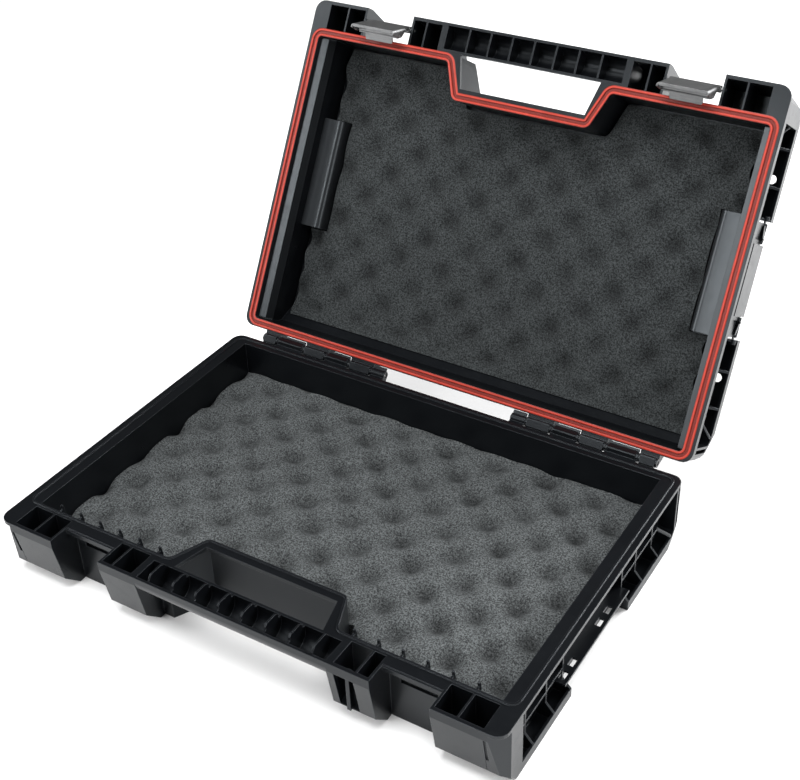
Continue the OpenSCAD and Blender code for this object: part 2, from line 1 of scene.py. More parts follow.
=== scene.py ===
"""Looks of a hard tool case with a hinged lid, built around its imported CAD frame."""

from __future__ import annotations

import logging
import math
from dataclasses import dataclass
from enum import Enum
from typing import Any, Mapping, Sequence

import bmesh
import bpy
from mathutils import Matrix, Vector

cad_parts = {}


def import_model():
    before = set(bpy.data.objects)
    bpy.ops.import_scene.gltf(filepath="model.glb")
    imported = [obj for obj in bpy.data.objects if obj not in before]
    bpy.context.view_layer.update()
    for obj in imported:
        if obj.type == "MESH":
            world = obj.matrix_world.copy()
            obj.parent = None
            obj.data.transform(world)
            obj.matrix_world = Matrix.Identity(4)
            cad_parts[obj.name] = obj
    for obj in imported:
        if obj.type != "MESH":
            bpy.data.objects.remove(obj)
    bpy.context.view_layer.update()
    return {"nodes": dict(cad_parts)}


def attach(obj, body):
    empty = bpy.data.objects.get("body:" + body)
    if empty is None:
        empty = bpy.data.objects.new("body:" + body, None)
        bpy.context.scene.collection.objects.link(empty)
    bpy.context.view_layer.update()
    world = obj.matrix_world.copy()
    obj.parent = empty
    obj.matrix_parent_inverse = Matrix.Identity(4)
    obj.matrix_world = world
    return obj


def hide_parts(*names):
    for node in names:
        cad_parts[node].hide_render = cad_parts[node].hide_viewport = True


LOG = logging.getLogger("tool_case")

RGB = tuple[float, float, float]
Point = tuple[float, float]
Place = tuple[float, float, float]
Stops = tuple[tuple[float, float], ...]
MM = 0.001
NEAR = 0.1  # slack in mm when a vertex is compared with a plane of its drawing
PARALLEL = 0.9  # an edge follows an axis when this share of its length lies along it
CRISP = 40.0  # edges of small moulded pieces that fold by more degrees than this stay sharp
# vertex attribute holding the painted shade of the foam's hollows
HOLLOW_SHADE = "hollow_shade"
CREST = "crest"


class Slot(Enum):
    """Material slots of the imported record."""

    CASE = "case_plastic"
    LATCH = "latch_plastic"
    SEAL = "seal_rubber"
    FOAM = "foam"
    STEEL = "steel"


class Side(Enum):
    """The two sides of the case, with the sign of their X."""

    LEFT = -1
    RIGHT = 1

    @property
    def word(self) -> str:
        """The side's part of a node name."""
        return self.name.lower()


class Axis(Enum):
    """Axes of a drawing, with their place in a vector."""

    X = 0
    Y = 1
    Z = 2


@dataclass(frozen=True)
class CaseSize:
    """Sizes of the shells in millimetres, as the CAD frame has them."""

    depth: float = 309.0
    base_h: float = 57.5
    lid_h: float = 51.0
    hinge_y: float = 316.0
    hinge_h: float = -0.2
    parting_gap: float = 0.4
    lid_open: float = 120.0

    def base_frame(self) -> Matrix:
        """Matrix from the base's rim drawing, Z down from the rim, to the frame in metres."""
        drop = Matrix.Diagonal((MM, MM, -MM, 1.0))
        return Matrix.Translation((0.0, -self.depth / 2 * MM, self.base_h * MM)) @ drop

    def lid_frame(self) -> Matrix:
        """Places the lid's rim drawing, Z outward from the rim.

        Returns:
            Matrix from the drawing to the frame in metres.
        """
        hinge = Matrix.Translation(
            (0.0, (self.hinge_y - self.depth / 2) * MM, (self.base_h - self.hinge_h) * MM)
        )
        swing = Matrix.Rotation(math.radians(-self.lid_open), 4, "X")
        back = Matrix.Translation((0.0, -self.hinge_y, self.parting_gap + self.hinge_h))
        return hinge @ swing @ Matrix.Scale(MM, 4) @ back


# ---------------------------------------------------------------- shader graphs


class Wire:
    """One output socket of a shader graph, usable in Python expressions on values."""

    def __init__(self, graph: Graph, socket: bpy.types.NodeSocket) -> None:
        """Keeps the socket and the graph that it belongs to."""
        self.graph = graph
        self.socket = socket

    def _math(self, operation: str, other: Wire | float, swapped: bool = False) -> Wire:
        """Adds a Math node.

        Args:
            operation: The Math node's operation.
            other: The other value or socket.
            swapped: Whether the other value comes first.

        Returns:
            The node's result.
        """
        pair = (other, self) if swapped else (self, other)
        return self.graph.node("ShaderNodeMath", {"operation": operation}, {0: pair[0], 1: pair[1]})

    def __add__(self, other: Wire | float) -> Wire:
        """Adds two values."""
        return self._math("ADD", other)

    __radd__ = __add__

    def __sub__(self, other: Wire | float) -> Wire:
        """Takes a value from this one."""
        return self._math("SUBTRACT", other)

    def __rsub__(self, other: Wire | float) -> Wire:
        """Takes this value from another."""
        return self._math("SUBTRACT", other, swapped=True)

    def __mul__(self, other: Wire | float) -> Wire:
        """Multiplies two values."""
        return self._math("MULTIPLY", other)

    __rmul__ = __mul__

    def __pow__(self, other: Wire | float) -> Wire:
        """Raises this value to a power."""
        return self._math("POWER", other)


class Graph:
    """Node graph of one material."""

    def __init__(self, name: str) -> None:
        """Makes an empty material.

        Args:
            name: The material's name.
        """
        self.material = bpy.data.materials.new(name)
        self.material.use_nodes = True
        self.tree = self.material.node_tree
        self.tree.nodes.clear()

    def node(
        self,
        kind: str,
        settings: Mapping[str, Any] | None = None,
        sockets: Mapping[str | int, Any] | None = None,
        out: str | int = 0,
    ) -> Wire:
        """Adds a node, sets it up and links it.

        Args:
            kind: The node's type.
            settings: Properties to set first; "stops" holds a colour ramp's stops.
            sockets: Values or wires for its input sockets, by name or number.
            out: The output socket to return.

        Returns:
            The chosen output as a wire.
        """
        node = self.tree.nodes.new(kind)
        for key, value in (settings or {}).items():
            if key == "stops":
                self._set_stops(node, value)
            else:
                setattr(node, key, value)
        for key, value in (sockets or {}).items():
            if isinstance(value, Wire):
                self.tree.links.new(value.socket, node.inputs[key])
            else:
                node.inputs[key].default_value = value
        return Wire(self, node.outputs[out]) if len(node.outputs) else Wire(self, node.inputs[0])

    @staticmethod
    def _set_stops(node: bpy.types.Node, stops: Sequence[tuple[float, float]]) -> None:
        """Sets a colour ramp's stops.

        Args:
            node: The ramp's node.
            stops: Its (position, grey) pairs, in order.
        """
        elements = node.color_ramp.elements
        while len(elements) < len(stops):
            elements.new(1.0)
        for element, (position, grey) in zip(elements, stops):
            element.position = position
            element.color = (grey, grey, grey, 1.0)

    def place(self, stretch: Place = (1.0, 1.0, 1.0)) -> Wire:
        """Object coordinates, stretched by a factor along each axis."""
        where = self.node("ShaderNodeTexCoord", out="Object")
        return self.node("ShaderNodeMapping", sockets={"Vector": where, "Scale": stretch})

    def noise(self, where: Wire, scale: float, detail: float = 2.0, rough: float = 0.5) -> Wire:
        """Adds noise.

        Args:
            where: The coordinates that it reads.
            scale: Its scale per metre.
            detail: How many finer layers it has.
            rough: How strong the finer layers are.

        Returns:
            The noise's value.
        """
        return self.node(
            "ShaderNodeTexNoise",
            sockets={"Vector": where, "Scale": scale, "Detail": detail, "Roughness": rough},
        )

    def ramp(self, value: Wire, *stops: tuple[float, float]) -> Wire:
        """Maps a value through a grey ramp."""
        return self.node("ShaderNodeValToRGB", {"stops": stops}, {"Fac": value})

    def mix(self, factor: Wire | float, first: RGB | Wire, second: RGB | Wire) -> Wire:
        """Mixes two colours.

        Args:
            factor: The share of the second colour.
            first: The first colour.
            second: The second colour.

        Returns:
            The mixed colour.
        """
        pair = [value if isinstance(value, Wire) else (*value, 1.0) for value in (first, second)]
        return self.node(
            "ShaderNodeMix",
            {"data_type": "RGBA"},
            {0: factor, 6: pair[0], 7: pair[1]},
            out=2,
        )

    def bump(self, height: Wire, distance: float, strength: float, normal: Wire | None) -> Wire:
        """Adds bump.

        Args:
            height: The height that it follows.
            distance: What a height of one stands for, in metres.
            strength: Its share of that distance.
            normal: The normal that it starts from, if it isn't the surface's own.

        Returns:
            The new normal.
        """
        sockets: dict[str | int, Any] = {
            "Height": height,
            "Distance": distance,
            "Strength": strength,
        }
        if normal is not None:
            sockets["Normal"] = normal
        return self.node("ShaderNodeBump", sockets=sockets)

    def finish(self, **sockets: Any) -> bpy.types.Material:
        """Ends the graph in a Principled surface.

        Args:
            **sockets: Principled sockets, with spaces written as underscores.

        Returns:
            The finished material.
        """
        named = {key.replace("_", " "): value for key, value in sockets.items()}
        surface = self.node("ShaderNodeBsdfPrincipled", sockets=named)
        self.node("ShaderNodeOutputMaterial", sockets={"Surface": surface})
        return self.material


# ---------------------------------------------------------------- finishes


@dataclass(frozen=True)
class MouldedPlastic:
    """Near-black moulded plastic: fine spark texture, rounded edges lightened by a painted
    highlight, slight flow marks.
    """

    name: str
    tone: RGB
    # lighter colour of the painted highlight along rounded edges
    edge_tone: RGB
    rough_low: float = 0.24
    rough_high: float = 0.36
    gloss: float = 0.3
    gloss_tint: RGB = (0.86, 0.94, 1.0)
    edge_radius: float = 0.55 * MM
    edge_stops: Stops = ((0.008, 0.0), (0.09, 1.0))
    edge_share: float = 0.7
    edge_polish: float = 0.05
    flow_scale: float = 22.0
    flow_gain: float = 1.35
    scuff_scale: float = 140.0
    scuff_stops: Stops = ((0.5, 0.0), (0.75, 1.0))
    scuff_rough: float = 0.06
    grain_scale: float = 1500.0
    grain_height: float = 0.12 * MM
    grain_strength: float = 0.16

    def build(self) -> bpy.types.Material:
        """Makes the material.

        Returns:
            The material.
        """
        g = Graph(self.name)
        where = g.place()
        rounded = g.node("ShaderNodeBevel", {"samples": 6}, {"Radius": self.edge_radius})
        true = g.node("ShaderNodeNewGeometry", out="True Normal")
        facing = g.node(
            "ShaderNodeVectorMath", {"operation": "DOT_PRODUCT"}, {0: rounded, 1: true}, out="Value"
        )
        edge = g.ramp(1.0 - facing, *self.edge_stops)
        flow = g.noise(where, self.flow_scale, 3.0)
        grain = g.noise(where, self.grain_scale, 2.0)
        scuff = g.ramp(g.noise(where, self.scuff_scale, 4.0, 0.65), *self.scuff_stops)
        body = g.mix(flow, self.tone, tuple(self.flow_gain * c for c in self.tone))
        # painted highlight: the rounded-edge mask lightens the colour toward the lighter edge tone
        colour = g.mix(edge * self.edge_share, body, self.edge_tone)
        rough = self.rough_low + (self.rough_high - self.rough_low) * flow
        return g.finish(
            Base_Color=colour,
            Roughness=rough + self.scuff_rough * scuff - self.edge_polish * edge,
            Specular_IOR_Level=self.gloss,
            Specular_Tint=(*self.gloss_tint, 1.0),
            Normal=g.bump(grain, self.grain_height, self.grain_strength, rounded),
        )


@dataclass(frozen=True)
class OpenCellFoam:
    """Open-cell foam: fine dark cells with bright cell walls, darkened by painted shade in the
    pad's hollows.
    """

    name: str
    cell_tone: RGB
    wall_tone: RGB
    speck: float = 0.3
    shade: float = 0.8
    rough: float = 0.92
    gloss: float = 0.2
    cell_scale: float = 760.0
    wall_stops: Stops = ((0.41, 0.0), (0.62, 1.0))
    wall_share: float = 0.75
    mottle_scale: float = 120.0
    mottle_share: float = 0.25
    mottle_height: float = 0.6
    speck_scale: float = 480.0
    speck_stops: Stops = ((0.66, 0.0), (0.76, 1.0))
    cell_height: float = 0.7 * MM
    cell_strength: float = 0.7

    def build(self) -> bpy.types.Material:
        """Makes the material.

        Returns:
            The material.
        """
        g = Graph(self.name)
        where = g.place()
        cells = g.noise(where, self.cell_scale, 3.0, 0.75)
        mottle = g.noise(where, self.mottle_scale, 3.0, 0.6)
        walls = g.ramp(cells, *self.wall_stops)
        specks = g.ramp(g.noise(where, self.speck_scale, 1.0), *self.speck_stops)
        hollow_shade = g.node("ShaderNodeAttribute", {"attribute_name": HOLLOW_SHADE}, out="Fac")
        light = walls * self.wall_share + mottle * self.mottle_share
        # painted shade: colour darker in the pad's hollows, by the share stored on each vertex
        light = light * (1.0 - self.shade * hollow_shade)
        return g.finish(
            Base_Color=g.mix(light + specks * self.speck, self.cell_tone, self.wall_tone),
            Roughness=self.rough,
            Specular_IOR_Level=self.gloss,
            Normal=g.bump(
                cells + mottle * self.mottle_height, self.cell_height, self.cell_strength, None
            ),
        )


@dataclass(frozen=True)
class SealRubber:
    """Red-orange rubber with a soft gloss, with painted shade at the bead's edges and in its
    channel.
    """

    name: str
    tone: RGB
    deep_tone: RGB
    rough_low: float = 0.3
    rough_gain: float = 0.18
    gloss: float = 0.28
    patch_scale: float = 60.0
    worn_stops: Stops = ((0.3, 0.7), (0.7, 1.0))
    grain_scale: float = 900.0
    grain_height: float = 0.08 * MM
    grain_strength: float = 0.25

    def build(self) -> bpy.types.Material:
        """Makes the material.

        Returns:
            The material.
        """
        g = Graph(self.name)
        where = g.place()
        patch = g.noise(where, self.patch_scale, 3.0)
        fine = g.noise(where, self.grain_scale, 2.0)
        crest = g.node("ShaderNodeAttribute", {"attribute_name": CREST}, out="Fac")
        worn = g.ramp(patch, *self.worn_stops)
        return g.finish(
            # painted shade and highlight: colour runs from the shade tone at the bead's edges and
            # channel to the full tone on the lips' crests
            Base_Color=g.mix(crest * worn, self.deep_tone, self.tone),
            Roughness=self.rough_low + self.rough_gain * patch,
            Specular_IOR_Level=self.gloss,
            Normal=g.bump(fine, self.grain_height, self.grain_strength, None),
        )


@dataclass(frozen=True)
class BrushedSteel:
    """Plated steel sheet, brushed along X."""

    name: str
    tone: RGB
    dull_tone: RGB
    rough: float = 0.34
    streak_stretch: Place = (0.06, 1.0, 1.0)
    streak_scale: float = 1400.0
    streak_share: float = 0.6
    streak_rough: float = 0.1
    streak_height: float = 0.06 * MM
    streak_strength: float = 0.35
    patch_scale: float = 160.0
    patch_share: float = 0.4
    patch_rough: float = 0.16
    edge_radius: float = 0.35 * MM

    def build(self) -> bpy.types.Material:
        """Makes the material.

        Returns:
            The material.
        """
        g = Graph(self.name)
        streaks = g.noise(g.place(self.streak_stretch), self.streak_scale, 3.0, 0.6)
        patch = g.noise(g.place(), self.patch_scale, 3.0, 0.6)
        light = streaks * self.streak_share + patch * self.patch_share
        rounded = g.node("ShaderNodeBevel", {"samples": 6}, {"Radius": self.edge_radius})
        return g.finish(
            Base_Color=g.mix(light, self.dull_tone, self.tone),
            Metallic=1.0,
            Roughness=self.rough + self.patch_rough * patch + self.streak_rough * streaks,
            Normal=g.bump(streaks, self.streak_height, self.streak_strength, rounded),
        )


@dataclass(frozen=True)
class Palette:
    """Every finish of the case, made once."""

    case: bpy.types.Material
    clip: bpy.types.Material
    lining: bpy.types.Material
    seal: bpy.types.Material
    base_foam: bpy.types.Material
    lid_foam: bpy.types.Material
    steel: bpy.types.Material
    pin: bpy.types.Material

    @classmethod
    def make(cls) -> Palette:
        """Builds the finishes.

        Returns:
            The palette.
        """
        return cls(
            case=MouldedPlastic(
                name="case_black",
                tone=(0.0026, 0.003, 0.0038),
                edge_tone=(0.045, 0.049, 0.055),
            ).build(),
            clip=MouldedPlastic(
                name="clip_black",
                tone=(0.0026, 0.003, 0.0036),
                edge_tone=(0.045, 0.049, 0.055),
                rough_low=0.2,
            ).build(),
            # painted sheen: the same black plastic as the shells, given a lighter tone so the lid's
            # side ledges and clip covers look lit
            lining=MouldedPlastic(
                name="lining_painted_sheen",
                tone=(0.008, 0.0088, 0.0098),
                edge_tone=(0.05, 0.054, 0.06),
                gloss=0.5,
            ).build(),
            seal=SealRubber(
                name="seal_red", tone=(0.5, 0.046, 0.026), deep_tone=(0.1, 0.007, 0.004)
            ).build(),
            # painted shade: both pads are one grey foam; the lid's copy has darker tones to stand
            # in for the weaker light falling on it
            base_foam=OpenCellFoam(
                name="base_foam_grey",
                cell_tone=(0.003, 0.0033, 0.0036),
                wall_tone=(0.134, 0.145, 0.148),
            ).build(),
            lid_foam=OpenCellFoam(
                name="lid_foam_painted_shade",
                cell_tone=(0.0018, 0.0021, 0.0023),
                wall_tone=(0.056, 0.063, 0.065),
                speck=0.4,
                shade=0.55,
            ).build(),
            steel=BrushedSteel(
                name="latch_steel", tone=(0.32, 0.32, 0.32), dull_tone=(0.07, 0.075, 0.08)
            ).build(),
            pin=BrushedSteel(
                name="pin_steel", tone=(0.5, 0.5, 0.5), dull_tone=(0.3, 0.3, 0.3), rough=0.4
            ).build(),
        )


# ---------------------------------------------------------------- mesh helpers


def dress(node: bpy.types.Object, material: bpy.types.Material) -> None:
    """Gives an object one material in place of those that it has."""
    node.data.materials.clear()
    node.data.materials.append(material)


def finish_piece(
    name: str,
    bm: bmesh.types.BMesh,
    to_frame: Matrix,
    material: bpy.types.Material,
    sharp_angle: float = 50.0,
) -> bpy.types.Object:
    """Turns a bmesh into a piece at the origin, its place in its mesh.

    Args:
        name: The piece's name.
        bm: The mesh as drawn; it is freed.
        to_frame: The drawing's place in the CAD frame.
        material: The piece's finish.
        sharp_angle: Edges that fold by more degrees than this stay sharp.

    Returns:
        The new object.
    """
    bmesh.ops.transform(bm, matrix=to_frame, verts=bm.verts)
    bmesh.ops.recalc_face_normals(bm, faces=bm.faces)
    mesh = bpy.data.meshes.new(name)
    bm.to_mesh(mesh)
    bm.free()
    mesh.shade_smooth()
    mesh.set_sharp_from_angle(angle=math.radians(sharp_angle))
    piece = bpy.data.objects.new(name, mesh)
    bpy.context.scene.collection.objects.link(piece)
    dress(piece, material)
    return piece


def grown(outline: Sequence[Point], grow: float) -> list[Point]:
    """Moves every edge of an anticlockwise outline outward.

    Args:
        outline: The outline's corners.
        grow: How far its edges move.

    Returns:
        The corners of the grown outline.
    """
    corners = [Vector(p) for p in outline]
    moved = []
    for i, corner in enumerate(corners):
        before = (corner - corners[i - 1]).normalized()
        after = (corners[(i + 1) % len(corners)] - corner).normalized()
        out_before = Vector((before.y, -before.x))
        out_after = Vector((after.y, -after.x))
        mitre = (out_before + out_after).normalized()
        point = corner + mitre * (grow / mitre.dot(out_before))
        moved.append((point.x, point.y))
    return moved


def rounded_face(
    bm: bmesh.types.BMesh, outline: Sequence[Point], outer_r: float, inner_r: float, segments: int
) -> bmesh.types.BMFace:
    """Makes one face with rounded corners.

    Args:
        bm: The mesh to add it to.
        outline: Corners, anticlockwise.
        outer_r: Radius of the corners that stand out.
        inner_r: Radius of the corners that turn in.
        segments: Segments of each rounding.

    Returns:
        The face.
    """
    verts = [bm.verts.new((x, y, 0.0)) for x, y in outline]
    bm.faces.new(verts)
    corners = []
    for i, vert in enumerate(verts):
        before = (vert.co - verts[i - 1].co).xy.normalized()
        after = (verts[(i + 1) % len(verts)].co - vert.co).xy.normalized()
        turn = before.angle_signed(after)
        radius = outer_r if turn < 0 else inner_r
        corners.append((vert, radius * math.tan(abs(turn) / 2)))
    for vert, offset in corners:
        bmesh.ops.bevel(
            bm,
            geom=[vert],
            offset=offset,
            offset_type="OFFSET",
            segments=segments,
            profile=0.5,
            affect="VERTICES",
            material=-1,
        )
    bm.faces.ensure_lookup_table()
    return bm.faces[0]


# ---------------------------------------------------------------- sub-assemblies


@dataclass
class Shells:
    """The two moulded shells, carried over from the CAD frame."""

    palette: Palette

    def build(self, nodes: Mapping[str, bpy.types.Object]) -> None:
        """Dresses both shells.

        Args:
            nodes: The frame's objects by node name.
        """
        for name in ("base_shell", "lid_shell"):
            dress(nodes[name], self.palette.case)
            LOG.info("%s: moulded plastic", name)


@dataclass
class Hinges:
    """Steel pins of both hinges."""

    palette: Palette

    def build(self, nodes: Mapping[str, bpy.types.Object]) -> None:
        """Dresses the pins.

        Args:
            nodes: The frame's objects by node name.
        """
        for side in Side:
            name = f"hinge_pin_{side.word}"
            dress(nodes[name], self.palette.pin)
            LOG.info("%s: plated pin", name)


@dataclass
class Latch:
    """One draw latch: lever, claw and their pins."""

    palette: Palette
    side: Side

    def build(self, nodes: Mapping[str, bpy.types.Object]) -> None:
        """Dresses the latch's pieces.

        Args:
            nodes: The frame's objects by node name.
        """
        for part in ("lever", "claw"):
            dress(nodes[f"latch_{self.side.word}_{part}"], self.palette.steel)
            dress(nodes[f"latch_{self.side.word}_{part}_pin"], self.palette.pin)
            LOG.info("latch_%s_%s: brushed steel", self.side.word, part)


@dataclass
class SideClip:
    """One folding stacking clip and its pin."""

    palette: Palette
    side: Side

    def build(self, nodes: Mapping[str, bpy.types.Object]) -> None:
        """Dresses the clip.

        Args:
            nodes: The frame's objects by node name.
        """
        dress(nodes[f"side_clip_{self.side.word}"], self.palette.clip)
        dress(nodes[f"side_clip_{self.side.word}_pin"], self.palette.pin)
        LOG.info("side_clip_%s: moulded plastic", self.side.word)


@dataclass
class SealLine:
    """Corners of the seal's closed line, in the rim drawing of either shell."""

    half_x: float = 218.8
    front: float = 28.8
    back: float = 304.7
    notch_front_x: float = 76.0
    notch_back_x: float = 63.0
    notch_back_y: float = 61.0

    def corners(self) -> list[Point]:
        """Lists the line's corners.

        Returns:
            The corners, anticlockwise seen with Z toward the eye.
        """
        return [
            (-self.half_x, self.front),
            (-self.notch_front_x, self.front),
            (-self.notch_back_x, self.notch_back_y),
            (self.notch_back_x, self.notch_back_y),
            (self.notch_front_x, self.front),
            (self.half_x, self.front),
            (self.half_x, self.back),
            (-self.half_x, self.back),
        ]


@dataclass
class SealBead:
    """Rubber seal pressed into the lid's groove: two lips with a channel between them."""

    palette: Palette
    size: CaseSize
    line: SealLine
    lip_reach: float = 3.6
    lip_rise: float = 0.32
    lip_steps: Sequence[Point] = (
        (0.0, 0.0),
        (0.12, 0.5),
        (0.3, 0.85),
        (0.52, 1.0),
        (0.74, 0.85),
        (0.9, 0.35),
    )
    channel_half: float = 1.1
    channel_w: float = 0.9
    channel_draft: float = 0.12
    # share of full tone that the painted shade keeps in the channel
    channel_tone: float = 0.16
    crest_power: float = 1.4
    outer_r: float = 7.0
    inner_r: float = 4.0
    root_w: float = 1.3
    segments: int = 6

    def profile(self) -> list[Point]:
        """Lists the steps of the bead's section.

        Returns:
            Each step as (distance in from the outer edge, depth from the rim plane).
        """
        lip = self.lip_reach - self.channel_half
        first = [(lip * x, -self.lip_rise * h) for x, h in self.lip_steps]
        first += [(lip, self.channel_w * 0.5), (lip + self.channel_draft, self.channel_w)]
        return first + [(2 * self.lip_reach - x, w) for x, w in reversed(first)]

    def build(self) -> bpy.types.Object:
        """Makes the bead by insetting one face along the line.

        Returns:
            The bead.
        """
        bm = bmesh.new()
        outline = grown(self.line.corners(), self.lip_reach)
        face = rounded_face(
            bm, outline, self.outer_r + self.lip_reach, self.inner_r - self.lip_reach, self.segments
        )
        bmesh.ops.translate(bm, vec=(0.0, 0.0, self.root_w), verts=list(face.verts))
        steps = self.profile()
        face = self.raised(bm, face, steps[0][1] - self.root_w)
        for (last, last_w), (here, here_w) in zip(steps, steps[1:]):
            bmesh.ops.inset_region(
                bm,
                faces=[face],
                thickness=here - last,
                use_boundary=True,
                use_even_offset=True,
            )
            bmesh.ops.translate(bm, vec=(0.0, 0.0, here_w - last_w), verts=list(face.verts))
        face = self.raised(bm, face, self.root_w - steps[-1][1])
        bmesh.ops.delete(bm, geom=[face], context="FACES_ONLY")
        self.close_root(bm)
        self.mark_crest(bm)
        piece = finish_piece("seal_bead", bm, self.size.lid_frame(), self.palette.seal)
        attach(piece, "lid")
        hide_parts("lid_seal")
        LOG.info("seal_bead: %d faces", len(piece.data.polygons))
        return piece

    @staticmethod
    def raised(bm: bmesh.types.BMesh, face: bmesh.types.BMFace, by: float) -> bmesh.types.BMFace:
        """Extrudes a face straight along Z, leaving nothing behind it.

        Args:
            bm: The face's mesh.
            face: The face.
            by: How far it moves.

        Returns:
            The moved face.
        """
        made = bmesh.ops.extrude_discrete_faces(bm, faces=[face])
        top = made["faces"][0]
        bmesh.ops.translate(bm, vec=(0.0, 0.0, by), verts=list(top.verts))
        return top

    @staticmethod
    def close_root(bm: bmesh.types.BMesh) -> None:
        """Joins the two open rims of the bead below."""
        rims = [edge for edge in bm.edges if edge.is_boundary]
        bmesh.ops.bridge_loops(bm, edges=rims)

    def mark_crest(self, bm: bmesh.types.BMesh) -> None:
        """Stores how near a lip's crest each vertex lies, which the rubber's colour reads as
        painted shade: dark at the edges, a little lighter in the channel, full tone on the crests.

        Args:
            bm: The bead's mesh.
        """
        crest = bm.verts.layers.float.new(CREST)
        for vert in bm.verts:
            low = self.channel_tone if vert.co.z > NEAR else 0.0
            height = min(1.0, max(0.0, -vert.co.z / self.lip_rise))
            vert[crest] = max(low, height**self.crest_power)


@dataclass(frozen=True)
class Ripple:
    """Slow sine along a drawing, for foam that isn't quite even."""

    rate: float
    start: float = 0.0

    def at(self, place: float) -> float:
        """The sine's value at a place along the drawing."""
        return math.sin(place * self.rate + self.start)


@dataclass
class ConvolutedPad:
    """Egg-crate foam pad: a waved grid cut to its tray, with sides and a flat back.

    Attributes:
        node: The CAD pad that it stands for.
        half_x: Half of its width.
        bottom: Depth of its flat back from the rim plane.
        peak: Depth of its crests.
        wave: How much deeper its hollows are.
        notch: Corners of the hand-gap notch in its front.
        phase: Place of the middle of one hollow.
        level_back: Y that its flat back doesn't go past.
        sharpness: How narrow the hollows are.
        wander: How far the rows of hollows wave from straight.
        flat_back: Width over which the waves die out before the rear edge, or none.
        ragged: How rough the cut of its side edges is.
        left_shade: How strong the painted shade in the hollows is at the left, as a share of the
            right.
        inlet: X, first Y and last Y of the recess at each side clip, if there is one.
    """

    name: str
    node: str
    body: str
    to_frame: Matrix
    material: bpy.types.Material
    half_x: float
    front: float
    back: float
    bottom: float
    peak: float
    wave: float
    notch: Sequence[Point]
    phase: Point
    level_back: float
    sharpness: float = 2.6
    pitch_x: float = 47.1
    pitch_y: float = 48.0
    step: float = 2.6
    wander: float = 2.6
    wander_x: Ripple = Ripple(0.047, 1.3)
    wander_y: Ripple = Ripple(0.041, 0.4)
    even: float = 0.82
    uneven: float = 0.18
    uneven_x: Ripple = Ripple(0.063, 0.9)
    uneven_y: Ripple = Ripple(0.071)
    flat_back: float = 0.0
    flat_share: float = 0.3
    ragged: float = 0.0
    ragged_width: float = 12.0
    ragged_level: float = 1.6
    ragged_wave: Ripple = Ripple(0.21)
    ragged_swell: Ripple = Ripple(0.083, 1.0)
    ragged_swell_share: float = 0.6
    left_shade: float = 1.0
    sharp_angle: float = 58.0
    inlet: Place | None = None

    def height(self, x: float, y: float) -> float:
        """Gives the waved face's height at a place in the drawing.

        Args:
            x: The place's X.
            y: The place's Y.

        Returns:
            The height.
        """
        over_x = x - self.phase[0] + self.wander * self.wander_x.at(y)
        over_y = y - self.phase[1] + self.wander * self.wander_y.at(x)
        beat = math.cos(2 * math.pi * over_x / self.pitch_x) * math.cos(
            2 * math.pi * over_y / self.pitch_y
        )
        dip = ((1.0 + beat) / 2.0) ** self.sharpness
        dip *= self.even + self.uneven * self.uneven_x.at(x) * self.uneven_y.at(y)
        if self.flat_back:
            dip *= min(1.0, max(0.0, (self.back - y) / self.flat_back - self.flat_share))
        return self.peak + self.wave * dip

    def sheet(self) -> bmesh.types.BMesh:
        """Makes the flat grid, cut along its outline.

        Returns:
            The grid's mesh.
        """
        bm = bmesh.new()
        width, length = 2 * self.half_x, self.back - self.front
        bmesh.ops.create_grid(
            bm,
            x_segments=round(width / self.step),
            y_segments=round(length / self.step),
            size=0.5,
        )
        bmesh.ops.scale(bm, vec=(width, length, 1.0), verts=bm.verts)
        bmesh.ops.translate(bm, vec=(0.0, (self.front + self.back) / 2, 0.0), verts=bm.verts)
        for start, end in zip(self.notch, self.notch[1:]):
            self.cut(bm, start, end)
        if self.inlet:
            x, y0, y1 = self.inlet
            for side_x in (x, -x):
                self.cut(bm, (side_x, y0), (side_x, y1))
            for y in (y0, y1):
                self.cut(bm, (-x, y), (x, y))
        gone = [f for f in bm.faces if self.outside(*f.calc_center_median().xy)]
        bmesh.ops.delete(bm, geom=gone, context="FACES")
        return bm

    @staticmethod
    def cut(bm: bmesh.types.BMesh, start: Point, end: Point) -> None:
        """Cuts the whole sheet along the line through two points.

        Args:
            bm: The sheet's mesh.
            start: The line's first point.
            end: The line's second point.
        """
        along = (Vector(end) - Vector(start)).normalized()
        bmesh.ops.bisect_plane(
            bm,
            geom=[*bm.verts, *bm.edges, *bm.faces],
            dist=0.02,
            plane_co=(*start, 0.0),
            plane_no=(-along.y, along.x, 0.0),
        )

    def outside(self, x: float, y: float) -> bool:
        """Tells whether a place lies in the hand-gap notch or in a side inlet.

        Args:
            x: The place's X.
            y: The place's Y.

        Returns:
            Whether it is outside the pad.
        """
        if self.inlet and abs(x) > self.inlet[0] and self.inlet[1] < y < self.inlet[2]:
            return True
        (x0, y0), (x1, y1) = self.notch[0], self.notch[1]
        if y > y1:
            return False
        return abs(x) < abs(x0) + (abs(x1) - abs(x0)) * (y - y0) / (y1 - y0)

    def lift(self, bm: bmesh.types.BMesh) -> None:
        """Lifts the flat sheet into its waves, stores the painted shade of its hollows and roughens
        its side edges.

        Args:
            bm: The sheet's mesh.
        """
        hollow_shade = bm.verts.layers.float.new(HOLLOW_SHADE)
        for vert in bm.verts:
            vert.co.z = self.height(vert.co.x, vert.co.y)
